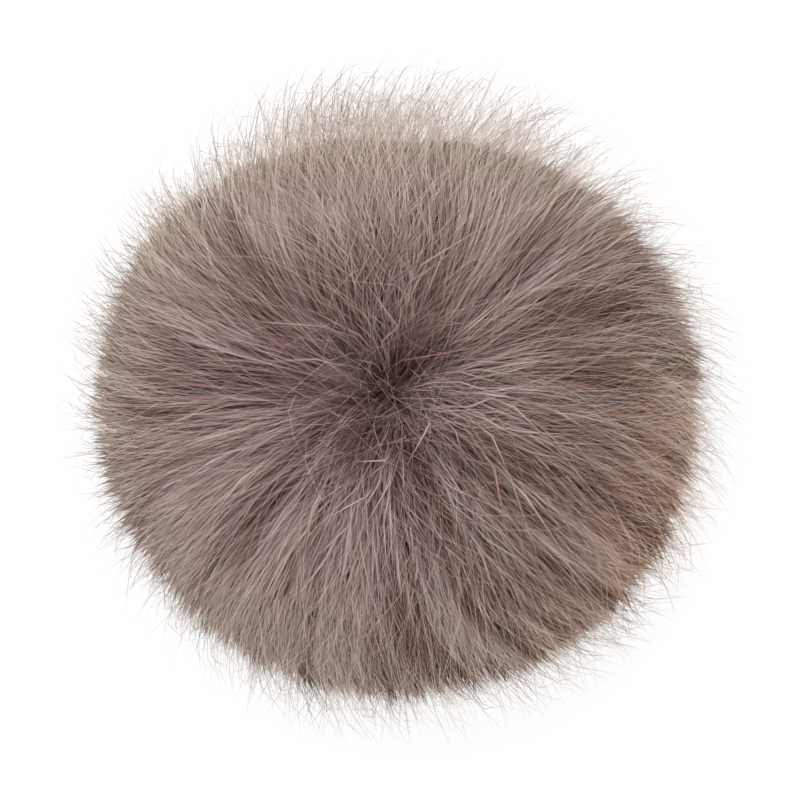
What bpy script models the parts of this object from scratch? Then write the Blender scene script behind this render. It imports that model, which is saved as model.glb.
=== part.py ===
"""Faux fur pom pom, resting crown up.

Long pile is drawn up over a small round ball. It is built as one closed solid: the backing of
the ball, with 294 tapered, four sided locks fused to it at their roots and apart from there on.
The locks part at a whorl on the crown, lie over away from it and stand out round the sides.
Under the ball they are shorter, and end level on the surface that the pom pom rests on.

Metres, +Z up, with the origin at the middle of the flat spot under the ball.
"""
import math
import random

import bmesh
import bpy
from mathutils import Matrix, Quaternion, Vector

# Driving dimensions
BALL_RADIUS = 0.027        # backing of the stuffed ball
BALL_HEIGHT = 0.052        # centre of the ball above the surface that the pile rests on
PILE_REACH = 0.068         # ball centre to the tips of the longest locks
LOCKS_ACROSS = 7           # the ball is laid out as a cube of 7 by 7 locks a side, 294 in all

# Fullness: the pile is a little longer on one side
LEAN_SHARE = 0.03
LEAN_COMPASS = math.radians(-75)

# Whorl: where the pile parts, and how far its tips lie over from there
WHORL_OFFSET = Vector((-0.0020, 0.0010))
COMB_ANGLE = math.radians(40)
COMB_RISE = math.radians(25)       # within this angle of the whorl the pile still stands up
COMB_END = math.radians(120)       # from here down the pile stands straight out
COMB_CURVE = 1.5                   # a lock leaves its root straight and curves over towards its tip
COMB_EVEN = 0.30                   # share of that by which the roots crowd in at the whorl
DIMPLE_SHARE = 0.36                # how much of its reach the pile loses right at the whorl
DIMPLE_SPREAD = math.radians(15)

# One lock, from its root to its tip
LOCK_SECTIONS = (
    # share of the length, share of its room that the lock fills
    (0.30, 0.87),
    (0.58, 0.86),
    (0.83, 0.68),
)
SHORTEST_LOCK = 0.84               # lengths run from this share of the reach to all of it
TIP_STRAY = 0.30                   # a tip strays this share of the lock's half width
REST_ANGLE = math.radians(34)      # locks this close to straight down end level on the surface
REST_END_FILL = 0.62               # share of its room that a resting lock's level end fills
CELL_JITTER = 0.26                 # unevenness of the layout, as a share of one cell
LAYOUT_TURN = math.radians(24)     # turn of the layout about +Z
SEED = 11

FUR_COLOUR = (0.205, 0.142, 0.128, 1.0)
FUR_ROUGHNESS = 0.85

CENTRE = Vector((0.0, 0.0, BALL_HEIGHT))
WHORL = Vector((WHORL_OFFSET.x, WHORL_OFFSET.y, PILE_REACH)).normalized()
DOWN = Vector((0.0, 0.0, -1.0))


def clear_scene():
    for old in list(bpy.data.objects):
        bpy.data.objects.remove(old, do_unlink=True)


def comb(angle):
    """How far the tip of a lock that is rooted at this angle from the whorl lies over."""
    if angle >= COMB_END:
        return 0.0
    rise = 1.0 - math.exp(-angle / COMB_RISE)
    fade = math.cos(0.5 * math.pi * angle / COMB_END) ** 2
    return COMB_ANGLE * rise * fade


def reach(direction):
    """Length from the ball's centre to the end of the pile: longer on one side, drawn in at the
    whorl, and no further than the surface below."""
    compass = math.atan2(direction.y, direction.x)
    outward = math.hypot(direction.x, direction.y)
    full = PILE_REACH * (1.0 + LEAN_SHARE * outward * math.cos(compass - LEAN_COMPASS))
    dimple = DIMPLE_SHARE * math.exp(-((direction.angle(WHORL) / DIMPLE_SPREAD) ** 2))
    full *= 1.0 - dimple
    down = direction.dot(DOWN)
    if down > 0.0:
        full = min(full, BALL_HEIGHT / down)
    return full


def settle(point):
    """Carry a point from the straight layout, where the backing has radius 1 and the pile ends
    at radius 2, to its combed place. Points of one radius keep their order round the ball and
    points of one direction keep theirs along it, so locks that are apart stay apart."""
    share = point.length - 1.0
    direction = point.normalized()
    angle = direction.angle(WHORL)
    turn = comb(angle) * (max(share, 0.0) ** COMB_CURVE - COMB_EVEN)
    if turn != 0.0:
        direction = Quaternion(WHORL.cross(direction).normalized(), turn) @ direction
    radius = BALL_RADIUS + share * (reach(direction) - BALL_RADIUS)
    return CENTRE + direction * radius


def layout_ball(bm, draw):
    """A cube of equal steps, its points drawn on to a ball of radius 1 so that the cells are
    near one size, then moved about a little, and less so towards the bottom."""
    bmesh.ops.create_cube(bm, size=2.0)
    bmesh.ops.subdivide_edges(bm, edges=bm.edges[:], cuts=LOCKS_ACROSS - 1, use_grid_fill=True)
    turned = Matrix.Rotation(LAYOUT_TURN, 3, "Z")
    quarter = 0.5 * math.pi
    stray = CELL_JITTER * quarter / LOCKS_ACROSS
    for vert in bm.verts:
        even = turned @ Vector([math.tan(0.5 * quarter * value) for value in vert.co]).normalized()
        shift = Vector([draw.uniform(-stray, stray) for axis in range(3)])
        vert.co = (even + shift * min(1.0, 1.0 + even.z)).normalized()


def raise_section(bm, face, middle, share, narrowing):
    """Extrude a lock's end face to the next section, drawn in about the lock's middle line."""
    face = bmesh.ops.extrude_discrete_faces(bm, faces=[face])["faces"][0]
    for vert in face.verts:
        spread = vert.co.normalized() - middle
        vert.co = (middle + spread * narrowing).normalized() * (1.0 + share)
    return face


def grow_lock(bm, face, draw):
    """Grow one cell of the ball into a lock, which ends level if it rests, or else in a point."""
    middle = face.calc_center_median().normalized()
    corner = face.verts[0].co - middle
    rests = middle.angle(DOWN) < REST_ANGLE
    length = 1.0 if rests else draw.uniform(SHORTEST_LOCK, 1.0)
    stray = draw.uniform(-TIP_STRAY, TIP_STRAY)
    filled = 1.0
    for share, fill in LOCK_SECTIONS:
        face = raise_section(bm, face, middle, share * length, fill / filled)
        filled = fill
    if rests:
        raise_section(bm, face, middle, length, REST_END_FILL / filled)
    else:
        end = raise_section(bm, face, middle, length, 1.0)
        tip = (middle + corner * stray).normalized() * (1.0 + length)
        bmesh.ops.pointmerge(bm, verts=end.verts[:], merge_co=tip)


def fur_material():
    material = bpy.data.materials.new("faux_fur")
    material.use_nodes = True
    shader = material.node_tree.nodes["Principled BSDF"]
    shader.inputs["Base Color"].default_value = FUR_COLOUR
    shader.inputs["Roughness"].default_value = FUR_ROUGHNESS
    shader.inputs["Metallic"].default_value = 0.0
    material.diffuse_color = FUR_COLOUR
    return material


def fur_ball(collection):
    draw = random.Random(SEED)
    bm = bmesh.new()
    layout_ball(bm, draw)
    for cell in bm.faces[:]:
        grow_lock(bm, cell, draw)
    for vert in bm.verts:
        vert.co = settle(vert.co)
    bmesh.ops.recalc_face_normals(bm, faces=bm.faces[:])
    mesh = bpy.data.meshes.new("fur_ball")
    bm.to_mesh(mesh)
    bm.free()
    mesh.materials.append(fur_material())
    ball = bpy.data.objects.new("fur_ball", mesh)
    collection.objects.link(ball)


def main():
    clear_scene()
    collection = bpy.data.collections.new("pom_pom")
    bpy.context.scene.collection.children.link(collection)
    fur_ball(collection)


main()
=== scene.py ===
"""Faux fur pom pom, seen from above its crown.

The pile is tens of thousands of closed, three sided fibres. Each is a path worked out from its root
on the ball, the lock and tuft that it belongs to and the way that the whole pile is combed away from
the whorl, with a tapering profile carried along it. Lengths are metres and angles are radians,
unless a table's heading says otherwise.
"""

import math

import bpy
import numpy as np
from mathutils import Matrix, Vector


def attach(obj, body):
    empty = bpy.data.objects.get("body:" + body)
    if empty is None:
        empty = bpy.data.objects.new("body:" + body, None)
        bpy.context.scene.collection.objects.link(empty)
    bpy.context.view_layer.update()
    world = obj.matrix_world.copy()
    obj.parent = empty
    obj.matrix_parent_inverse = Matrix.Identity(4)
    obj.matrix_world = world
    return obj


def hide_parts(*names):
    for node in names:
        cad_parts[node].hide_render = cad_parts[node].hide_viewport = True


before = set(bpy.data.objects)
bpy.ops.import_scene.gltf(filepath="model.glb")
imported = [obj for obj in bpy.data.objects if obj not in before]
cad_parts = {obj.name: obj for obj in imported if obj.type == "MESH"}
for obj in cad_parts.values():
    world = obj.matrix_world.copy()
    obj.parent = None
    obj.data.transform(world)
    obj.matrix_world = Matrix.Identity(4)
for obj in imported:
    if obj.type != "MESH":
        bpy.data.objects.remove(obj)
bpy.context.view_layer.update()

bl_info = {
    "name": "Faux Fur Pom Pom",
    "version": (1, 0, 0),
    "blender": (4, 5, 0),
    "location": "View3D > Sidebar > Pom Pom",
    "description": "Builds a faux fur pom pom fibre by fibre, with its studio stage",
    "category": "Add Mesh",
}

NODE = "fur_ball"
BODY = "root"
SEED = 20

UP = np.array((0.0, 0.0, 1.0))
DOWN = -UP
EAST = np.array((1.0, 0.0, 0.0))
FLOOR_CLEARANCE = 0.0004
FULL_COMB = 0.57                   # largest share of the comb angle that is left by its rise and fade
LAY_FROM = 0.6                     # share of the pile's length past which it lies along the surface
SEEN_SHARE = 0.85                  # share of the pile's length at which its outside is seen

# Dense felt deep inside the pile: steps of its grid, its usual share of the pile, and its lumps
UNDERCOAT_ROWS, UNDERCOAT_COLUMNS = 80, 160
UNDERCOAT_SHARE, UNDERCOAT_LUMPS = 0.48, 0.03

# Stage: half the floor's side, and the places and side of the two soft boxes
FLOOR_HALF = 3.0
KEY_AT = (-0.20, 0.55, 0.95)
OVERHEAD_AT = (0.0, 0.1, 1.3)
LIGHT_SIDE = 0.8

# Photograph: a square picture, its side and the middle of the pom pom in pixels
PICTURE_SIDE = 800
OBJECT_PIXEL = (397.0, 396.0)

# Colour families of the fibres, each a band of the fibre map's u, and the tints along a band
MAUVE, BEIGE, RUST = 0, 1, 2
BAND_WIDTH = 1.0 / 3.0
BAND_USED = (0.10, 0.90)           # a tone of 0 to 1 runs over this part of its band
STREAK_SPAN = 0.05                 # how much of u goes once round a fibre
TINTS = (
    # dark, dim, fair and pale tints of each family, which multiply the colour along the fibre
    ((0.21, 0.124, 0.132), (0.46, 0.375, 0.408), (0.73, 0.690, 0.755), (0.95, 0.965, 0.99)),
    ((0.22, 0.138, 0.112), (0.47, 0.405, 0.366), (0.74, 0.735, 0.705), (0.95, 1.00, 0.98)),
    ((0.20, 0.112, 0.086), (0.46, 0.335, 0.272), (0.74, 0.605, 0.515), (0.98, 0.88, 0.80)),
)
MAUVE_AREAS = (
    # place in mm to the right and up from the middle, spread in mm, and chance at its middle
    (-12, -2, 27, 0.85),
    (4, -24, 14, 0.45),
    (-8, -40, 12, 0.35),
)
RUST_AREAS = (
    # the same for rusty fibres
    (56, -8, 13, 0.80),
    (52, -28, 14, 0.90),
    (30, -48, 12, 0.55),
    (-30, 33, 7, 0.35),
)
MAUVE_ELSEWHERE = 0.26
RUST_ELSEWHERE = 0.03              # away from the whorl
RUST_AT_RIM = 0.14

# How far strands turn from straight out of the whorl, counterclockwise as seen from above
SWEEP = (
    # compass, turn on the crown and turn at the rim, in degrees
    (0, -5, -20),
    (30, -12, -18),
    (60, 26, -5),
    (90, 20, -18),
    (120, -32, -22),
    (150, -16, -10),
    (180, -12, -12),
    (210, 7, 10),
    (240, 22, 16),
    (270, 5, 6),
    (300, 0, 14),
    (330, 3, -3),
)
SWEEP_LEAN = 0.48                  # a fibre's lean, for the tangent of its turn

# Locks that stand out on the crown, with painted light and shade: light ones lie on top and are
# painted lighter, as is the upper side, and dark ones paint the shade in the gaps between them,
# in the whorl's dimple and on the lower right
CROWN_LOCKS_LIT_AND_SHADED = (
    # compass in degrees and distance from the whorl in mm of the inner end, the same of the outer
    # end, half width in mm, and what the lock adds to the tone of the fibres on it: painted light
    # above 0 and painted shade below
    (355, 3, 8, 22, 4.6, 0.54),
    (270, 3, 270, 12, 2.8, 0.28),
    (212, 4, 212, 11, 2.5, 0.12),
    (33, 20, 36, 40, 3.0, 0.22),
    (50, 30, 60, 52, 3.0, 0.24),
    (66, 40, 72, 56, 4.0, 0.22),
    (82, 42, 86, 56, 3.5, 0.20),
    (84, 4, 92, 12, 3.0, 0.12),
    (112, 46, 112, 64, 11.0, 0.50),
    (86, 50, 86, 66, 8.0, 0.24),
    (56, 54, 56, 66, 9.0, 0.26),
    (128, 36, 126, 52, 4.0, 0.14),
    (152, 36, 150, 54, 3.0, 0.08),
    (196, 20, 194, 42, 4.0, 0.12),
    (208, 34, 212, 54, 3.0, 0.15),
    (238, 30, 235, 54, 4.5, 0.26),
    (248, 22, 250, 56, 4.0, 0.34),
    (264, 26, 260, 54, 5.0, 0.36),
    (282, 42, 281, 54, 1.5, 0.26),
    (296, 38, 295, 50, 1.5, 0.20),
    (315, 28, 318, 46, 2.0, 0.18),
    (322, 10, 298, 38, 2.2, 0.26),
    (330, 5, 338, 23, 3.5, 0.22),
    (352, 18, 342, 31, 2.5, 0.16),
    (22, 12, 23, 24, 3.0, -0.22),
    (40, 28, 48, 54, 3.2, -0.22),
    (62, 13, 64, 40, 4.5, -0.14),
    (120, 30, 122, 46, 5.0, -0.12),
    (93, 20, 92, 30, 2.0, -0.15),
    (152, 22, 132, 46, 3.5, -0.28),
    (178, 14, 176, 44, 4.0, -0.22),
    (208, 14, 212, 27, 3.0, -0.14),
    (240, 2, 240, 12, 4.5, -0.38),
    (150, 32, 150, 56, 9.0, -0.08),
    (287, 10, 281, 34, 3.6, -0.34),
    (274, 42, 274, 56, 3.0, -0.14),
    (290, 34, 294, 56, 4.5, -0.28),
    (300, 14, 300, 44, 3.6, -0.34),
    (118, 10, 120, 24, 5.0, -0.12),
    (225, 50, 225, 60, 12.0, 0.10),
    (304, 20, 298, 44, 3.5, 0.16),
    (308, 4, 302, 14, 3.0, -0.32),
    (312, 22, 306, 32, 3.0, -0.22),
    (332, 23, 329, 44, 3.2, -0.26),
    (35, 2, 38, 11, 3.5, -0.44),
    (185, 3, 180, 9, 2.0, -0.06),
    (306, 46, 306, 60, 7.0, -0.34),
    (22, 40, 22, 60, 8.0, -0.36),
    (4, 42, 4, 60, 6.5, -0.24),
    (325, 46, 325, 60, 7.0, -0.12),
    (50, 4, 55, 14, 4.0, -0.20),
    (345, 42, 343, 60, 6.0, -0.22),
)
LOCK_LEAN = 0.12                   # how far fibres lean along such a lock, a share of its slant

RAGGED_COMPASS = math.radians(280)          # the side where strands clump and differ most in tone, partly as painted shade between the clumps
RAGGED_SPREAD = math.radians(65)
EVEN_PULL = 0.6                    # how much strands are pulled together elsewhere, and how much
RAGGED_PULL = 2.2                  #     more there
EVEN_CONTRAST = 0.40               # how much strands differ elsewhere, and how much more there, the extra partly painted shade
RAGGED_CONTRAST = 2.35
WHORL_CONTRAST = 0.75              # and how much near the whorl, and how much more further out
OUTER_CONTRAST = 0.55
RAGGED_GAP_SHADE = 0.16                # painted shade: how much darker the underfur is there, deep in the gaps between the clumps

# Fibres of each kind
KINDS = {
    "underfur": dict(
        count=10000, points=4, start=(0.20, 0.36), length=(0.90, 1.04), width=(0.0009, 0.0015),
        tone=0.54, spread=0.04, shared=1.0, frost=(0.12, 0.80), fade=0.46, rim=0.0, edge=0.15,
        trim=1.0, clear=0.0, stray=0.060, gather=0.10, pull=0.20, wave=0.002, turns=1.0, lift=0.0,
        under=0.35, deep=RAGGED_GAP_SHADE),
    "pile": dict(
        count=7700, points=4, start=(0.42, 0.56), length=(0.84, 1.06), width=(0.00012, 0.00021),
        tone=0.59, spread=0.06, shared=1.0, frost=(0.34, 0.90), fade=0.44, rim=0.0, edge=0.15,
        trim=1.0, clear=0.0, stray=0.120, gather=0.08, pull=0.20, wave=0.002, turns=1.0, lift=0.03,
        under=0.35, deep=0.0),
    "guard": dict(
        count=5700, points=5, start=(0.48, 0.62), length=(0.92, 1.26), width=(0.00008, 0.00013),
        tone=0.92, spread=0.08, shared=0.7, frost=(0.66, 1.00), fade=0.26, rim=0.55, edge=0.0,
        trim=0.45, clear=0.14, stray=0.150, gather=0.05, pull=0.06, wave=0.004, turns=0.8, lift=0.07,
        under=0.25, deep=0.0),
    "wisps": dict(
        count=3000, points=4, start=(0.50, 0.70), length=(1.18, 1.66), width=(0.00007, 0.00011),
        tone=0.90, spread=0.10, shared=0.5, frost=(0.74, 1.00), fade=0.20, rim=0.60, edge=0.0,
        trim=-0.1, clear=0.30, stray=0.070, gather=0.05, pull=0.05, wave=0.004, turns=0.6, lift=0.05,
        under=0.0, deep=0.0),
    "whorl": dict(
        count=1400, points=6, start=(0.72, 0.88), length=(0.96, 1.16), width=(0.00006, 0.00009),
        tone=0.86, spread=0.12, shared=0.20, frost=(0.60, 1.00), fade=0.0, rim=0.0, edge=0.0,
        trim=1.0, clear=0.0, stray=0.18, gather=0.0, pull=0.0, wave=0.030, turns=1.5, lift=0.0,
        under=0.0, deep=0.0),
}
# count: fibres in a piece, and points: points along each
# start, length: where fibres begin and end, as shares of the pile, and width: their thickness
# tone, spread: their usual tone and how much it differs, and shared: how much of their locks' and
#     streaks' tones they take
# frost: how far from the root's colour to the tip's they are where they begin and where they end
# fade: share of the frost that is missing at the whorl, and rim: tone that is missing where the
# pile stands straight out, more on one side as painted shade, and edge: tone that is added where
# they end near the rim, as painted light
# trim: share of the outline's notch kept, and clear: angle round the whorl with no roots
# stray: a fibre's own lean, gather and pull: shares of the way to the tuft's and lock's middle lines
# wave, turns: size and number of its waves, and lift: how far it rides over the rest of the pile
#     where that lies over
# under: share kept straight below the ball, and deep: tone that is missing on the ragged side, as
# painted shade deep between its strands
PILE_PIECES = 3
WHORL_SPREAD = 0.15
WHORL_TANGLE = 1.2                 # how much more fibres stray at the whorl, and over what angle
TANGLE_ANGLE = math.radians(22)
WHORL_FINENESS = 0.66              # how much thinner fibres are at the whorl
LONGEST = 1.50                     # no fibre is longer than this share of the pile
STREAK_TONE = 0.17                 # what the long streaks add to the tone, and to the length
STREAK_LENGTH = 0.030
STREAK_ROUNDS = 80                 # the finest waves of each go this many times round
LENGTH_ROUNDS = 46
CROWN_LIGHT_AND_SHADE = 1.55                  # multiplies the painted light and shade of the crown's locks
EDGE_FROST = 0.40                  # share of the frost still missing that is added at the rim, as painted light
FRINGE_SHADE_COMPASS = math.radians(150)          # the side where the fringe is painted darker, as shade
FRINGE_SHADE_MORE = 1.0
FADE_ANGLE = math.radians(32)               # round the whorl, where fibres are thin and frosted less


class PomPomSizes(bpy.types.PropertyGroup):
    """Sizes of the ball and its pile."""

    ball_radius: bpy.props.FloatProperty(
        name="Ball radius", description="Backing of the stuffed ball, where the pile is rooted",
        default=0.027, min=0.005, subtype="DISTANCE", unit="LENGTH")
    ball_height: bpy.props.FloatProperty(
        name="Ball height", description="Centre of the ball above the surface it rests on",
        default=0.052, min=0.01, subtype="DISTANCE", unit="LENGTH")
    pile_reach: bpy.props.FloatProperty(
        name="Pile reach", description="Ball centre to the ends of the main pile",
        default=0.0602, min=0.01, subtype="DISTANCE", unit="LENGTH")
    comb_angle: bpy.props.FloatProperty(
        name="Comb", description="How far the tips lie over, away from the whorl",
        default=math.radians(70), subtype="ANGLE", unit="ROTATION")
    comb_rise: bpy.props.FloatProperty(
        name="Comb rise", description="Angle from the whorl within which the pile still stands up",
        default=math.radians(28), subtype="ANGLE", unit="ROTATION")
    comb_end: bpy.props.FloatProperty(
        name="Comb end", description="Angle from the whorl past which the pile stands straight out",
        default=math.radians(125), subtype="ANGLE", unit="ROTATION")
    comb_curve: bpy.props.FloatProperty(
        name="Comb curve", description="Power by which a fibre curves over towards its tip",
        default=1.5, min=1.0)
    comb_extra: bpy.props.FloatProperty(
        name="Comb length", description="How much longer fibres are where the pile lies over",
        default=0.32, min=0.0, max=1.0, subtype="FACTOR")
    comb_lay: bpy.props.FloatProperty(
        name="Comb lay", description="How much a fibre's outer part lies along the surface there",
        default=0.64, min=0.0, max=1.0, subtype="FACTOR")
    comb_even: bpy.props.FloatProperty(
        name="Comb evenness", description="Share of the comb by which roots crowd in at the whorl",
        default=0.55, min=0.0, max=1.0)
    dimple: bpy.props.FloatProperty(
        name="Dimple", description="Share of its reach that the pile loses right at the whorl",
        default=0.22, min=0.0, max=0.8, subtype="FACTOR")
    dimple_angle: bpy.props.FloatProperty(
        name="Dimple angle", description="Spread of the dimple round the whorl",
        default=math.radians(11), subtype="ANGLE", unit="ROTATION")
    lean: bpy.props.FloatProperty(
        name="Lean", description="How much longer the pile is on its fuller side",
        default=0.002, min=0.0, max=0.3, subtype="FACTOR")
    lean_compass: bpy.props.FloatProperty(
        name="Fuller side", description="Compass angle of the fuller side, from +X towards +Y",
        default=math.radians(-75), subtype="ANGLE", unit="ROTATION")
    notch: bpy.props.FloatProperty(
        name="Flatter side", description="Share of its reach that dense pile loses on one side",
        default=0.14, min=0.0, max=0.5, subtype="FACTOR")
    notch_compass: bpy.props.FloatProperty(
        name="Flatter side compass", description="Compass angle of that side",
        default=math.radians(88), subtype="ANGLE", unit="ROTATION")
    notch_spread: bpy.props.FloatProperty(
        name="Flatter side spread", description="Angle over which the pile is shorter there",
        default=math.radians(44), subtype="ANGLE", unit="ROTATION")
    whorl: bpy.props.FloatVectorProperty(
        name="Whorl", description="Sideways place of the whorl on the crown",
        size=2, default=(-0.0020, 0.0010), subtype="TRANSLATION", unit="LENGTH")


class PomPomColours(bpy.types.PropertyGroup):
    """Colours of the fibres and the stage, as linear values."""

    root: bpy.props.FloatVectorProperty(
        name="Root", description="Fibre colour at its root",
        size=3, default=(0.240, 0.148, 0.140), min=0.0, max=1.0, subtype="COLOR")
    middle: bpy.props.FloatVectorProperty(
        name="Middle", description="Fibre colour halfway along",
        size=3, default=(0.550, 0.408, 0.388), min=0.0, max=1.0, subtype="COLOR")
    outer: bpy.props.FloatVectorProperty(
        name="Outer", description="Fibre colour near its tip",
        size=3, default=(0.770, 0.614, 0.545), min=0.0, max=1.0, subtype="COLOR")
    tip: bpy.props.FloatVectorProperty(
        name="Tip", description="Fibre colour at its frosted tip",
        size=3, default=(0.930, 0.845, 0.765), min=0.0, max=1.0, subtype="COLOR")
    undercoat: bpy.props.FloatVectorProperty(
        name="Undercoat", description="Colour of the dense felt deep between the fibres",
        size=3, default=(0.200, 0.125, 0.120), min=0.0, max=1.0, subtype="COLOR")
    floor: bpy.props.FloatVectorProperty(
        name="Floor", description="Colour of the plain floor",
        size=3, default=(0.22, 0.22, 0.22), min=0.0, max=1.0, subtype="COLOR")
    floor_glow: bpy.props.FloatProperty(
        name="Floor glow", description="Even light that the floor gives off, as a light table does",
        default=0.74, min=0.0)


class PomPomStage(bpy.types.PropertyGroup):
    """Camera and lights."""

    field: bpy.props.FloatProperty(
        name="Field", description="Width of the picture at the widest level of the pom pom",
        default=0.160, min=0.01, subtype="DISTANCE", unit="LENGTH")
    distance: bpy.props.FloatProperty(
        name="Camera distance", description="Camera above the widest level of the pom pom",
        default=1.5, min=0.2, subtype="DISTANCE", unit="LENGTH")
    sky: bpy.props.FloatProperty(
        name="Sky", description="Brightness of the even light from all round", default=1.30, min=0.0)
    key: bpy.props.FloatProperty(
        name="Key light", description="Power of the soft box beyond the top of the picture",
        default=5.0, min=0.0, unit="POWER")
    overhead: bpy.props.FloatProperty(
        name="Overhead light", description="Power of the soft box over the crown",
        default=3.0, min=0.0, unit="POWER")


def sizes():
    return bpy.context.scene.pom_pom_sizes


def colours():
    return bpy.context.scene.pom_pom_colours


def stage_values():
    return bpy.context.scene.pom_pom_stage


def unit(vectors):
    """Each vector divided by its length."""
    return vectors / np.maximum(np.linalg.norm(vectors, axis=-1, keepdims=True), 1e-12)


def smooth(low, high, value):
    """0 at low, 1 at high, and 3t^2 - 2t^3 between them."""
    share = np.clip((value - low) / (high - low), 0.0, 1.0)
    return share * share * (3.0 - 2.0 * share)


def bell(distance, spread):
    """e to the power of -(distance / spread)^2."""
    return np.exp(-((distance / spread) ** 2))


def compass_vector(angle, rise=0.0):
    """The unit vector with this compass angle, and this height before it is made a unit one."""
    return unit(np.array((math.cos(angle), math.sin(angle), rise)))


def whorl_axis():
    s = sizes()
    return unit(np.array((s.whorl[0], s.whorl[1], s.pile_reach)))


def ball_centre():
    return UP * sizes().ball_height


def angle_between(directions, axis):
    """Angle of each unit vector from the axis, which is the arc cosine of their dot product."""
    return np.arccos(np.clip(directions @ axis, -1.0, 1.0))


def round_whorl(directions):
    """Polar coordinates about the whorl: the angle from its axis and the compass angle round it."""
    axis = whorl_axis()
    east = unit(EAST - (EAST @ axis) * axis)
    north = np.cross(axis, east)
    return angle_between(directions, axis), np.arctan2(directions @ north, directions @ east)


def turning(angle, compass):
    """The turn that the sweep table gives for the compass angle. It runs from the crown's to the
    rim's by the angle from the whorl."""
    rows = np.radians(np.array(SWEEP, dtype=float))
    crown = np.interp(compass, rows[:, 0], rows[:, 1], period=2.0 * np.pi)
    rim = np.interp(compass, rows[:, 0], rows[:, 2], period=2.0 * np.pi)
    return crown + (rim - crown) * smooth(0.6, 1.3, angle)


def drift(seed, directions, rounds, along, count=20):
    """Smooth unevenness of standard deviation 1 that runs in long streaks away from the whorl: the
    sum of cosines of n * compass + m * angle + phase, with whole n of 3 to rounds and m of -along
    to along, divided by the square root of half their number. The compass angle is the one that
    follows the sweep in from there."""
    draw = np.random.default_rng(seed)
    whole = draw.integers(3, rounds, count)
    slope = draw.uniform(-along, along, count)
    phase = draw.uniform(0.0, 2.0 * np.pi, count)
    angle, compass = round_whorl(directions)
    compass = compass - np.tan(turning(angle, compass)) * np.log(np.clip(angle, 0.25, 2.0) / 0.6)
    waves = np.cos(compass[..., None] * whole + angle[..., None] * slope + phase)
    return waves.sum(axis=-1) / math.sqrt(0.5 * count)


def comb(angle):
    """How far a tip lies over, by its root's angle from the whorl: (1 - e^(-angle / rise)) for the
    part that stands up at the whorl, times cos^2 of the quarter turn that ends at comb_end."""
    s = sizes()
    rise = 1.0 - np.exp(-angle / s.comb_rise)
    fade = np.cos(0.5 * np.pi * np.minimum(angle / s.comb_end, 1.0)) ** 2
    return s.comb_angle * rise * fade


def reach(direction, trim):
    """Length from the ball's centre to the end of the pile. It is longer by the lean times the
    cosine of the compass angle from the fuller side, and shorter by a bell curve at the whorl and
    by trim times another one on the flatter side."""
    s = sizes()
    fuller = direction @ compass_vector(s.lean_compass)
    dimple = s.dimple * bell(angle_between(direction, whorl_axis()), s.dimple_angle)
    flatter = s.notch * bell(angle_between(direction, compass_vector(s.notch_compass)), s.notch_spread)
    return s.pile_reach * (1.0 + s.lean * fuller) * (1.0 - dimple) * (1.0 - trim * flatter)


def combed(angle):
    """How far the pile lies over at this angle from the whorl, as a share of the most it does."""
    return np.minimum(comb(angle) / (FULL_COMB * sizes().comb_angle), 1.0)


def upright(directions):
    """How far the pile stands straight out here, from 0 on the crown to 1 at the rim and below."""
    angle = angle_between(directions, whorl_axis())
    return (1.0 - combed(angle)) * smooth(0.0, 0.9, angle)


def near_rim(directions):
    """0 on the crown, and from there to 1 where the rim is as seen from above, and below it."""
    return smooth(0.85, 1.30, angle_between(directions, whorl_axis()))


def settle(direction, share, trim=1.0, lift=0.0):
    """The place of points that lie in these directions, at these shares of the pile's length. Each
    direction turns away from the whorl by comb(angle) * (share^curve - evenness). Where the pile
    lies over, the share grows by comb_extra, and the radius rises less in the outer part, because
    the fibre lies along the surface there: risen = share - comb_lay * past^1.5 + lift * past, where
    past = share - LAY_FROM. The radius runs from the ball's to reach(direction) by it. Nothing goes
    below the surface that the ball rests on: there the radius is at most height / cos(angle from
    straight down)."""
    s = sizes()
    axis = whorl_axis()
    angle = angle_between(direction, axis)
    lies = combed(angle)
    share = share * (1.0 + s.comb_extra * lies)
    side = unit(direction - np.cos(angle)[..., None] * axis)
    turned = angle + comb(angle) * (np.maximum(share, 0.0) ** s.comb_curve - s.comb_even)
    direction = np.cos(turned)[..., None] * axis + np.sin(turned)[..., None] * side
    past = np.maximum(share - LAY_FROM, 0.0)
    risen = share + lies * (lift * past - s.comb_lay * past ** 1.5)
    radius = s.ball_radius + risen * (reach(direction, trim) - s.ball_radius)
    down = np.maximum(direction @ DOWN, 1e-6)
    radius = np.minimum(radius, (s.ball_height - FLOOR_CLEARANCE) / down)
    return ball_centre() + direction * radius[..., None]


def lock_table():
    """The crown's locks in plan: inner ends, outer ends, half widths and tones, which are painted light
    and shade, in metres.
    """
    table = np.array(CROWN_LOCKS_LIT_AND_SHADED, dtype=float)
    s = sizes()
    turn, far = np.radians(table[:, (0, 2)]), table[:, (1, 3)] * 0.001
    ends = np.stack((np.cos(turn) * far, np.sin(turn) * far), axis=-1) + np.array(s.whorl)
    return ends[:, 0], ends[:, 1], table[:, 4] * 0.001, table[:, 5]


def on_locks(points, wider=1.0):
    """How much each point lies on each of the crown's locks: a bell curve of its distance in plan
    from the line between the lock's ends, none of it on the ball's lower half. `wider` multiplies
    the locks' widths."""
    inner, outer, width, _ = lock_table()
    along = outer - inner
    span = np.sum(along * along, axis=-1)
    offset = points[..., None, :2] - inner
    share = np.clip(np.sum(offset * along, axis=-1) / span, 0.0, 1.0)
    gap = np.linalg.norm(offset - share[..., None] * along, axis=-1)
    height = smooth(-0.006, 0.010, points[..., 2] - sizes().ball_height)
    return bell(gap, wider * width) * height[..., None]


def lock_slants():
    """For each of the crown's locks, the part of its direction that runs round the whorl."""
    inner, outer, _, _ = lock_table()
    along = unit(outer - inner)
    outward = unit(0.5 * (inner + outer) - np.array(sizes().whorl))
    slant = along - np.sum(along * outward, axis=-1, keepdims=True) * outward
    return np.concatenate((slant, np.zeros((len(slant), 1))), axis=-1)


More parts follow.
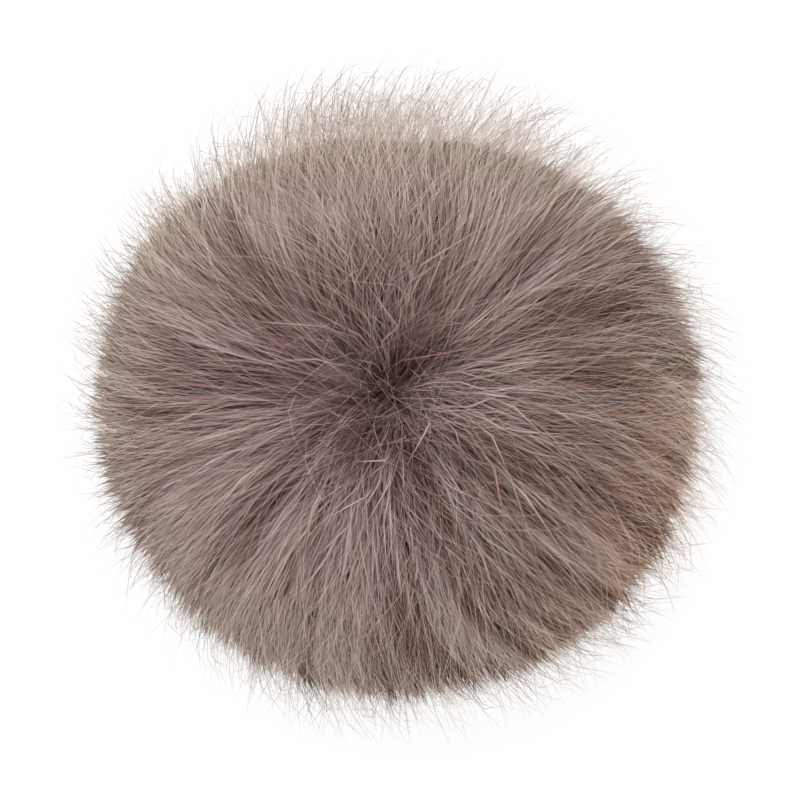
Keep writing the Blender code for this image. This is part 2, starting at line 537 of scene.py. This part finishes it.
def sweep(directions):
    """Leans round the whorl, of SWEEP_LEAN times the tangent of the turn there. They fade out right
    at the whorl and below the rim."""
    angle, compass = round_whorl(directions)
    lean = SWEEP_LEAN * np.tan(turning(angle, compass))
    lean = lean * smooth(0.0, 0.35, angle) * (1.0 - smooth(1.7, 2.4, angle))
    return lean[:, None] * unit(np.cross(whorl_axis(), directions))


def ragged(directions):
    """1 in the middle of the side where strands clump and differ most, and less round from there."""
    _, compass = round_whorl(directions)
    off = np.abs((compass - RAGGED_COMPASS + np.pi) % (2.0 * np.pi) - np.pi)
    return bell(off, RAGGED_SPREAD)


def contrast(directions):
    """How strongly strands differ in tone: more away from the whorl, and most on the ragged side, where
    the extra partly paints the shade between its clumps.
    """
    angle = angle_between(directions, whorl_axis())
    outward = WHORL_CONTRAST + OUTER_CONTRAST * smooth(0.35, 1.0, angle)
    return outward * (EVEN_CONTRAST + RAGGED_CONTRAST * ragged(directions))


def fringe_shade(directions):
    """1 on most sides, and up to FRINGE_SHADE_MORE more on the side where the fringe is painted darker, as
    shade.
    """
    return 1.0 + FRINGE_SHADE_MORE * np.maximum(directions @ compass_vector(FRINGE_SHADE_COMPASS), 0.0)


def even_directions(count):
    """A golden angle spiral: equal steps in height, each turned on by the golden angle."""
    index = np.arange(count) + 0.5
    height = 1.0 - 2.0 * index / count
    turn = index * np.pi * (3.0 - math.sqrt(5.0))
    flat = np.sqrt(1.0 - height ** 2)
    return np.stack((flat * np.cos(turn), flat * np.sin(turn), height), axis=-1)


def loose_directions(draw, count, under, clear):
    """Random directions, with the share `under` of their number kept straight below the ball, and
    none of those within the angle `clear` of the whorl."""
    drawn = unit(draw.normal(size=(count * 2, 3)))
    keep = draw.random(count * 2) < 1.0 - (1.0 - under) * smooth(-0.55, -0.85, drawn[:, 2])
    keep &= angle_between(drawn, whorl_axis()) >= clear
    return drawn[keep][:count]


def near_whorl(draw, count):
    """Directions in a bell curve round the whorl."""
    return unit(whorl_axis() + draw.normal(scale=WHORL_SPREAD, size=(count, 3)))


def sideways(draw, direction, spread):
    """Random vectors at right angles to these directions, of normal lengths with this spread."""
    loose = draw.normal(scale=spread, size=direction.shape)
    return loose - np.sum(loose * direction, axis=-1, keepdims=True) * direction


def nearest(points, centres, step=4000):
    """For each direction, the number of the centre with the largest dot product."""
    found = [np.argmax(points[at:at + step] @ centres.T, axis=1) for at in range(0, len(points), step)]
    return np.concatenate(found)


class Locks:
    """A set of locks: their middle lines, and how each one leans, is longer and is lighter."""

    def __init__(self, draw, count, lean, length, tone):
        jitter = draw.normal(scale=0.35 / math.sqrt(count), size=(count, 3))
        self.middle = unit(even_directions(count) + jitter)
        self.lean = sideways(draw, self.middle, lean)
        self.length = draw.normal(scale=length, size=count)
        self.tone = draw.normal(scale=tone, size=count)


def shared_locks():
    """The tufts and the smaller locks that fibres of every kind belong to."""
    draw = np.random.default_rng(SEED)
    tufts = Locks(draw, 170, lean=0.036, length=0.020, tone=0.085)
    locks = Locks(draw, 2200, lean=0.034, length=0.024, tone=0.080)
    return tufts, locks


def fibre_paths(draw, roots, habit, tufts, locks):
    """Paths of fibres, as (count, points, 3), the tone at each of their points and near_rim() where
    they end.

    A fibre's direction at share t of the pile is its root's direction, plus gather and pull times
    t of the way to its tuft's and lock's middle lines, plus t^1.2 times the leans of the sweep,
    its tuft, its lock, the crown lock that it lies on and its own, which is larger near the whorl,
    plus a sine wave that grows with t.
    settle() then carries that direction to its combed place. The tone is its kind's and its own,
    plus the share of its tuft's, its lock's, drift()'s streaks' and the crown's locks' painted light
    and shade that its kind takes, and is lower deep between the strands of the ragged side, as
    painted shade."""
    count = len(roots)
    tuft, lock = nearest(roots, tufts.middle), nearest(roots, locks.middle)
    start = draw.uniform(*habit["start"], count)
    length = draw.uniform(*habit["length"], count)
    length *= 1.0 + tufts.length[tuft] + locks.length[lock]
    length *= 1.0 + STREAK_LENGTH * drift(SEED + 7, roots, LENGTH_ROUNDS, along=3.0)
    length = np.minimum(length, LONGEST)
    share = start[:, None] + (length - start)[:, None] * np.linspace(0.0, 1.0, habit["points"])
    grown = np.clip(share, 0.0, None)[..., None]

    angle = angle_between(roots, whorl_axis())
    lean = sweep(roots) + tufts.lean[tuft] + locks.lean[lock]
    lean += LOCK_LEAN * (on_locks(settle(roots, np.full(count, SEEN_SHARE)), 1.5) @ lock_slants())
    tangle = 1.0 + WHORL_TANGLE * bell(angle, TANGLE_ANGLE)
    lean += tangle[:, None] * sideways(draw, roots, habit["stray"])
    even = draw.uniform(0.4, 1.0, (count, 1))
    clump = habit["pull"] * (EVEN_PULL + RAGGED_PULL * ragged(roots))[:, None]
    middle = habit["gather"] * (tufts.middle[tuft] - roots) + clump * (locks.middle[lock] - roots)
    waves = habit["wave"] * draw.uniform(0.3, 1.0, (count, 1, 1))
    phase = draw.uniform(0.0, 2.0 * np.pi, (count, 1, 2))
    turns = habit["turns"] * draw.uniform(0.7, 1.3, (count, 1, 1))
    swing = np.sin(2.0 * np.pi * turns * grown + phase) * waves * grown
    across = unit(sideways(draw, roots, 1.0))[:, None, :]
    other = np.cross(roots[:, None, :], across)
    direction = roots[:, None, :] + (even * middle)[:, None, :] * grown
    direction = direction + lean[:, None, :] * grown ** 1.2
    direction = unit(direction + across * swing[..., :1] + other * swing[..., 1:])
    paths = settle(direction, share, habit["trim"], habit["lift"])

    seen = unit(paths - ball_centre())
    own = tufts.tone[tuft] + locks.tone[lock]
    own = habit["shared"] * own + draw.normal(scale=habit["spread"], size=count)
    shared = STREAK_TONE * drift(SEED + 5, seen, STREAK_ROUNDS, along=4.0, count=30)
    tone = habit["tone"] + contrast(seen) * (own[:, None] + habit["shared"] * shared)
    # the crown's locks add painted light and painted shade to the tone
    tone = tone + habit["shared"] * CROWN_LIGHT_AND_SHADE * (on_locks(paths) @ lock_table()[3])
    # tone missing where the pile stands straight out, more on one side as painted shade of the fringe
    missing = habit["rim"] * upright(roots) * draw.uniform(0.5, 1.5, count) * fringe_shade(roots)
    edge = near_rim(seen[:, -2])
    # on the ragged side `deep` takes tone off the fibres, as painted shade deep between its clumps
    uneven = ragged(roots)
    # edge adds tone at the rim as painted light, less on the ragged side
    added = habit["edge"] * edge * (1.0 - 0.8 * uneven) - habit["deep"] * uneven - missing
    tone = tone + added[:, None]
    return paths, tone, edge


def area_chance(points, areas):
    """The sum over these areas of their chance times the bell curve of the distance in plan."""
    table = np.array(areas, dtype=float)
    distance = np.linalg.norm(points[:, None, :2] - 0.001 * table[:, :2], axis=-1)
    return bell(distance, 0.001 * table[:, 2]) @ table[:, 3]


def families(draw, roots):
    """Colour family of each fibre, by chance. Mauve and rusty ones are commoner in their areas of
    the crown, mauve ones come in patches elsewhere, and a few more rusty ones are at the rim."""
    seen = settle(roots, np.full(len(roots), SEEN_SHARE))
    above = smooth(-0.010, 0.010, seen[:, 2] - sizes().ball_height)
    patch = 0.5 + 0.5 * np.tanh(drift(SEED + 6, roots, rounds=9, along=4.0))
    mauve = MAUVE_ELSEWHERE * patch * (1.0 - 0.7 * upright(roots)) + above * area_chance(seen, MAUVE_AREAS)
    rust = RUST_AT_RIM * upright(roots) + area_chance(seen, RUST_AREAS)
    rust = rust + RUST_ELSEWHERE * (1.0 - bell(angle_between(roots, whorl_axis()), FADE_ANGLE))
    chance = draw.random(len(roots))
    return np.where(chance < rust, RUST, np.where(chance > 1.0 - mauve, MAUVE, BEIGE))


def frosting(draw, roots, habit, edge):
    """How far each fibre's colour is from the root's to the tip's, at each of its points: an even
    rise between the kind's two ends, the outer one uneven, lower near the whorl and higher for
    those that end at the rim, by `edge`, which paints the rim's glow as light. Kinds that lose tone
    at the rim have their tip's colour along most of their length there."""
    first, last = habit["frost"]
    near = bell(angle_between(roots, whorl_axis()), FADE_ANGLE)
    last = last * draw.uniform(0.72, 1.0, len(roots)) * (1.0 - habit["fade"] * near)
    last = last + (1.0 - last) * EDGE_FROST * edge
    if habit["rim"] > 0.0:
        first = first + (last - first) * 0.8 * upright(roots)
    first = np.minimum(first, last) * np.ones(len(roots))
    return first[:, None] + (last - first)[:, None] * np.linspace(0.0, 1.0, habit["points"])


def triangle_mesh(name, verts, faces):
    """A mesh of triangles from an array of points and one of their numbers, three to a triangle."""
    mesh = bpy.data.meshes.new(name)
    mesh.vertices.add(len(verts))
    mesh.vertices.foreach_set("co", verts.reshape(-1).astype(np.float32))
    mesh.loops.add(faces.size)
    mesh.loops.foreach_set("vertex_index", faces.reshape(-1).astype(np.int32))
    mesh.polygons.add(len(faces))
    mesh.polygons.foreach_set("loop_start", np.arange(0, faces.size, 3, dtype=np.int32))
    mesh.update(calc_edges=True)
    mesh.shade_smooth()
    return mesh


def fibre_mesh(name, paths, width, taper, along, up):
    """One mesh of closed, three sided fibres: a triangle of the fibre's width is carried along all
    but the last point of each path, where the fibre ends in a point. width is one value a fibre and
    taper one a path point. In the UV map, u is `along` at that point plus a little of the way round
    the fibre, and v is `up`, both of them one value a path point."""
    count, points, _ = paths.shape
    rings = points - 1
    tangent = unit(np.gradient(paths, axis=1))
    start = unit(np.cross(tangent[:, :1], UP + 0.01))
    first = unit(start - np.sum(start * tangent, axis=-1, keepdims=True) * tangent)
    second = np.cross(tangent, first)
    corner = np.arange(3) * 2.0 * np.pi / 3.0
    radius = (width[:, None] * taper * 0.5)[:, :rings, None, None]
    spoke = (np.cos(corner)[:, None] * first[:, :rings, None, :]
             + np.sin(corner)[:, None] * second[:, :rings, None, :])
    tube = paths[:, :rings, None, :] + radius * spoke
    verts = np.concatenate((tube.reshape(count, rings * 3, 3), paths[:, -1:, :]), axis=1)

    band, side = np.meshgrid(np.arange(rings - 1), np.arange(3), indexing="ij")
    band, side = band.reshape(-1, 1), side.reshape(-1, 1)
    ring = np.concatenate(((band + (0, 0, 1)), (band + (0, 1, 1))))
    turn = np.concatenate(((side + (0.0, 1.0, 1.0)), (side + (0.0, 1.0, 0.0))))
    tip_turn = np.arange(3)[:, None] + np.array((0.0, 1.0, 0.5))
    ring = np.concatenate((ring, np.full((3, 3), (rings - 1, rings - 1, rings)), np.zeros((1, 3), int)))
    turn = np.concatenate((turn, tip_turn, np.array(((0.0, 2.0, 1.0),))))
    one = np.where(ring == rings, rings * 3, ring * 3 + turn.astype(int) % 3)
    faces = one[None] + (np.arange(count) * (rings * 3 + 1))[:, None, None]
    mesh = triangle_mesh(name, verts.reshape(-1, 3), faces.reshape(-1, 3))
    u = along[:, ring] + STREAK_SPAN * (turn / 3.0 - 0.5)
    layer = mesh.uv_layers.new(name="OFBake")
    layer.data.foreach_set("uv", np.stack((u, up[:, ring]), axis=-1).reshape(-1).astype(np.float32))
    return mesh


def place(name, mesh, material):
    """Put a finished mesh in the scene as a piece of the pom pom."""
    piece = bpy.data.objects.new(name, mesh)
    bpy.context.scene.collection.objects.link(piece)
    piece.data.materials.append(material)
    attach(piece, BODY)
    return piece


def ramp(nodes, stops):
    """A colour ramp with these (position, colour) stops."""
    node = nodes.new("ShaderNodeValToRGB")
    band = node.color_ramp
    band.elements[0].position, band.elements[1].position = stops[0][0], stops[-1][0]
    band.elements[0].color, band.elements[1].color = (*stops[0][1], 1.0), (*stops[-1][1], 1.0)
    for position, colour in stops[1:-1]:
        element = band.elements.new(position)
        element.color = (*colour, 1.0)
    return node


def times(nodes, links, first, second):
    """The product of two colours."""
    node = nodes.new("ShaderNodeMix")
    node.data_type = "RGBA"
    node.blend_type = "MULTIPLY"
    node.inputs["Factor"].default_value = 1.0
    links.new(first, node.inputs["A"])
    links.new(second, node.inputs["B"])
    return node.outputs["Result"]


def band_place(family, tone):
    """Where a tone from 0 to 1 of a colour family lies in u."""
    low, high = BAND_USED
    return (family + low + (high - low) * tone) * BAND_WIDTH


def fibre_material():
    """Colour along the fibre from its root to its tip, times a tint by its family and tone, times
    fine streaks that run along it."""
    made = bpy.data.materials.get("fur_fibre")
    if made:
        return made
    c = colours()
    material = bpy.data.materials.new("fur_fibre")
    material.use_nodes = True
    nodes, links = material.node_tree.nodes, material.node_tree.links
    shader = nodes["Principled BSDF"]
    shader.inputs["Roughness"].default_value = 0.6
    shader.inputs["Specular IOR Level"].default_value = 0.0
    fibre_map = nodes.new("ShaderNodeUVMap")
    fibre_map.uv_map = "OFBake"
    parts = nodes.new("ShaderNodeSeparateXYZ")
    links.new(fibre_map.outputs["UV"], parts.inputs["Vector"])
    length = ramp(nodes, ((0.0, c.root), (0.45, c.middle), (0.75, c.outer), (1.0, c.tip)))
    tint = ramp(nodes, [(band_place(family, step / 3.0), colour)
                        for family, row in enumerate(TINTS) for step, colour in enumerate(row)])
    links.new(parts.outputs["Y"], length.inputs["Fac"])
    links.new(parts.outputs["X"], tint.inputs["Fac"])
    stretch = nodes.new("ShaderNodeMapping")
    stretch.inputs["Scale"].default_value = (190.0, 3.0, 1.0)
    streaks = nodes.new("ShaderNodeTexNoise")
    streaks.noise_dimensions = "2D"
    streaks.inputs["Scale"].default_value = 1.0
    streaks.inputs["Detail"].default_value = 1.0
    links.new(fibre_map.outputs["UV"], stretch.inputs["Vector"])
    links.new(stretch.outputs["Vector"], streaks.inputs["Vector"])
    shade = ramp(nodes, ((0.30, (0.75, 0.73, 0.73)), (0.70, (1.0, 1.0, 1.0))))
    links.new(streaks.outputs["Fac"], shade.inputs["Fac"])
    colour = times(nodes, links, length.outputs["Color"], tint.outputs["Color"])
    colour = times(nodes, links, colour, shade.outputs["Color"])
    links.new(colour, shader.inputs["Base Color"])
    return material


def felt_material():
    """Dark felt, with fine lighter specks."""
    material = bpy.data.materials.new("undercoat_felt")
    material.use_nodes = True
    nodes, links = material.node_tree.nodes, material.node_tree.links
    shader = nodes["Principled BSDF"]
    shader.inputs["Roughness"].default_value = 0.9
    shader.inputs["Specular IOR Level"].default_value = 0.1
    where = nodes.new("ShaderNodeTexCoord")
    noise = nodes.new("ShaderNodeTexNoise")
    noise.inputs["Scale"].default_value = 900.0
    noise.inputs["Detail"].default_value = 3.0
    links.new(where.outputs["Object"], noise.inputs["Vector"])
    light = colours().undercoat
    shade = ramp(nodes, ((0.3, [0.5 * value for value in light]), (0.7, list(light))))
    links.new(noise.outputs["Fac"], shade.inputs["Fac"])
    links.new(shade.outputs["Color"], shader.inputs["Base Color"])
    return material


def add_fibres(name, kind, seed, rooted=loose_directions):
    """Root the fibres of one kind, lay them and add them as one piece."""
    draw = np.random.default_rng(seed)
    habit = KINDS[kind]
    if rooted is loose_directions:
        roots = loose_directions(draw, habit["count"], habit["under"], habit["clear"])
    else:
        roots = rooted(draw, habit["count"])
    tufts, locks = shared_locks()
    paths, tone, edge = fibre_paths(draw, roots, habit, tufts, locks)
    along = band_place(families(draw, roots)[:, None], np.clip(tone, 0.0, 1.0))
    up = frosting(draw, roots, habit, edge)
    taper = np.interp(np.linspace(0.0, 1.0, habit["points"]), (0.0, 0.25, 0.7, 1.0), (0.7, 1.0, 0.8, 0.0))
    width = draw.uniform(*habit["width"], len(roots))
    width *= 1.0 - WHORL_FINENESS * bell(angle_between(roots, whorl_axis()), FADE_ANGLE)
    return place(name, fibre_mesh(name, paths, width, taper, along, up), fibre_material())


class POMPOM_OT_undercoat(bpy.types.Operator):
    """Add the dense, lumpy felt deep inside the pile, which stands for the stuffed ball"""

    bl_idname = "pom_pom.undercoat"
    bl_label = "Undercoat"

    def execute(self, context):
        """A ball on a grid of height and compass angles, closed at its poles, at a share of the
        pile that is its usual one plus two waves of the direction, one bent by the other."""
        rows, columns = UNDERCOAT_ROWS, UNDERCOAT_COLUMNS
        down = np.linspace(0.0, np.pi, rows + 1)[1:-1, None]
        turn = (np.arange(columns) * 2.0 * np.pi / columns)[None, :]
        ball = np.stack(np.broadcast_arrays(np.sin(down) * np.cos(turn), np.sin(down) * np.sin(turn),
                                            np.cos(down)), axis=-1)
        direction = np.concatenate((ball.reshape(-1, 3), UP[None], DOWN[None]))
        lumps = np.sin(direction[:, 0] * 23 + 2 * np.sin(direction[:, 1] * 17))
        lumps = lumps + np.sin(direction[:, 1] * 29 + 2 * np.sin(direction[:, 2] * 19))
        verts = settle(direction, UNDERCOAT_SHARE + UNDERCOAT_LUMPS * lumps)
        here = np.arange((rows - 1) * columns).reshape(rows - 1, columns)
        after = np.roll(here, -1, axis=1)
        top, bottom = np.full(columns, here.size), np.full(columns, here.size + 1)
        faces = np.concatenate((
            np.stack((here[:-1], here[1:], after[1:]), axis=-1).reshape(-1, 3),
            np.stack((here[:-1], after[1:], after[:-1]), axis=-1).reshape(-1, 3),
            np.stack((top, here[0], after[0]), axis=-1),
            np.stack((bottom, after[-1], here[-1]), axis=-1),
        ))
        piece = place("undercoat", triangle_mesh("undercoat", verts, faces), felt_material())
        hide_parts(NODE)
        return {"FINISHED"}


class POMPOM_OT_underfur(bpy.types.Operator):
    """Add the soft, broad underfur that closes the gaps between the locks"""

    bl_idname = "pom_pom.underfur"
    bl_label = "Underfur"

    def execute(self, context):
        add_fibres("underfur", "underfur", SEED + 1)
        return {"FINISHED"}


class POMPOM_OT_pile(bpy.types.Operator):
    """Add the main pile, in three pieces"""

    bl_idname = "pom_pom.pile"
    bl_label = "Main pile"

    def execute(self, context):
        for number in range(PILE_PIECES):
            add_fibres(f"pile_{number + 1}", "pile", SEED + 10 + number)
        return {"FINISHED"}


class POMPOM_OT_guard_hairs(bpy.types.Operator):
    """Add the finer, paler guard hairs that cross the locks and fringe the outline"""

    bl_idname = "pom_pom.guard_hairs"
    bl_label = "Guard hairs"

    def execute(self, context):
        add_fibres("guard_hairs", "guard", SEED + 20)
        return {"FINISHED"}


class POMPOM_OT_wisps(bpy.types.Operator):
    """Add the longest, finest hairs, and the short tangled ones at the whorl"""

    bl_idname = "pom_pom.wisps"
    bl_label = "Wisps"

    def execute(self, context):
        add_fibres("wisps", "wisps", SEED + 30)
        add_fibres("whorl_hairs", "whorl", SEED + 31, near_whorl)
        return {"FINISHED"}


def soft_box(name, lamp_at, target, side, power):
    """A square area light of this side, turned towards the target."""
    data = bpy.data.lights.new(name, "AREA")
    data.shape = "SQUARE"
    data.size = side
    data.energy = power
    lamp = bpy.data.objects.new(name, data)
    lamp.location = lamp_at
    lamp.rotation_euler = (Vector(target) - lamp.location).to_track_quat("-Z", "Y").to_euler()
    bpy.context.scene.collection.objects.link(lamp)


class POMPOM_OT_stage(bpy.types.Operator):
    """Add the plain floor, the soft lights and the camera above the crown"""

    bl_idname = "pom_pom.stage"
    bl_label = "Stage"

    def execute(self, context):
        scene = context.scene
        values = stage_values()
        middle = ball_centre()
        half = FLOOR_HALF
        mesh = bpy.data.meshes.new("floor")
        mesh.from_pydata([(-half, -half, 0), (half, -half, 0), (half, half, 0), (-half, half, 0)],
                         [], [(0, 1, 2, 3)])
        floor = bpy.data.objects.new("floor", mesh)
        scene.collection.objects.link(floor)
        material = bpy.data.materials.new("floor_paint")
        material.use_nodes = True
        shader = material.node_tree.nodes["Principled BSDF"]
        shader.inputs["Base Color"].default_value = (*colours().floor, 1.0)
        shader.inputs["Emission Color"].default_value = (1.0, 1.0, 1.0, 1.0)
        shader.inputs["Emission Strength"].default_value = colours().floor_glow
        shader.inputs["Roughness"].default_value = 0.9
        mesh.materials.append(material)

        world = bpy.data.worlds.new("studio")
        world.use_nodes = True
        background = world.node_tree.nodes["Background"]
        background.inputs["Color"].default_value = (1.0, 1.0, 1.0, 1.0)
        background.inputs["Strength"].default_value = values.sky
        scene.world = world
        soft_box("key_light", KEY_AT, middle, LIGHT_SIDE, values.key)
        soft_box("overhead_light", OVERHEAD_AT, middle, LIGHT_SIDE, values.overhead)

        camera_data = bpy.data.cameras.new("camera")
        camera_data.sensor_width = 36.0
        camera_data.lens = camera_data.sensor_width * values.distance / values.field
        camera_data.clip_end = 20.0
        camera = bpy.data.objects.new("camera", camera_data)
        pixel = values.field / PICTURE_SIDE
        across = (0.5 * PICTURE_SIDE - OBJECT_PIXEL[0]) * pixel
        up = (OBJECT_PIXEL[1] - 0.5 * PICTURE_SIDE) * pixel
        camera.location = (across, up, middle[2] + values.distance)
        scene.collection.objects.link(camera)
        scene.camera = camera
        scene.view_settings.view_transform = "Standard"
        return {"FINISHED"}


GROUPS = (
    (PomPomSizes, "pom_pom_sizes"),
    (PomPomColours, "pom_pom_colours"),
    (PomPomStage, "pom_pom_stage"),
)
STEPS = (POMPOM_OT_undercoat, POMPOM_OT_underfur, POMPOM_OT_pile, POMPOM_OT_guard_hairs,
         POMPOM_OT_wisps, POMPOM_OT_stage)


class POMPOM_PT_panel(bpy.types.Panel):
    """Sidebar panel with the settings and the steps"""

    bl_idname = "POMPOM_PT_panel"
    bl_label = "Pom Pom"
    bl_space_type = "VIEW_3D"
    bl_region_type = "UI"
    bl_category = "Pom Pom"

    def draw(self, context):
        for group, name in GROUPS:
            box = self.layout.box()
            for setting in group.__annotations__:
                box.prop(getattr(context.scene, name), setting)
        for step in STEPS:
            self.layout.operator(step.bl_idname)


def register():
    for group, name in GROUPS:
        bpy.utils.register_class(group)
        setattr(bpy.types.Scene, name, bpy.props.PointerProperty(type=group))
    for step in (*STEPS, POMPOM_PT_panel):
        bpy.utils.register_class(step)


def unregister():
    for step in (POMPOM_PT_panel, *reversed(STEPS)):
        bpy.utils.unregister_class(step)
    for group, name in reversed(GROUPS):
        delattr(bpy.types.Scene, name)
        bpy.utils.unregister_class(group)


def main():
    register()
    bpy.ops.pom_pom.undercoat()
    bpy.ops.pom_pom.underfur()
    bpy.ops.pom_pom.pile()
    bpy.ops.pom_pom.guard_hairs()
    bpy.ops.pom_pom.wisps()
    bpy.ops.pom_pom.stage()


if __name__ == "__main__":
    main()
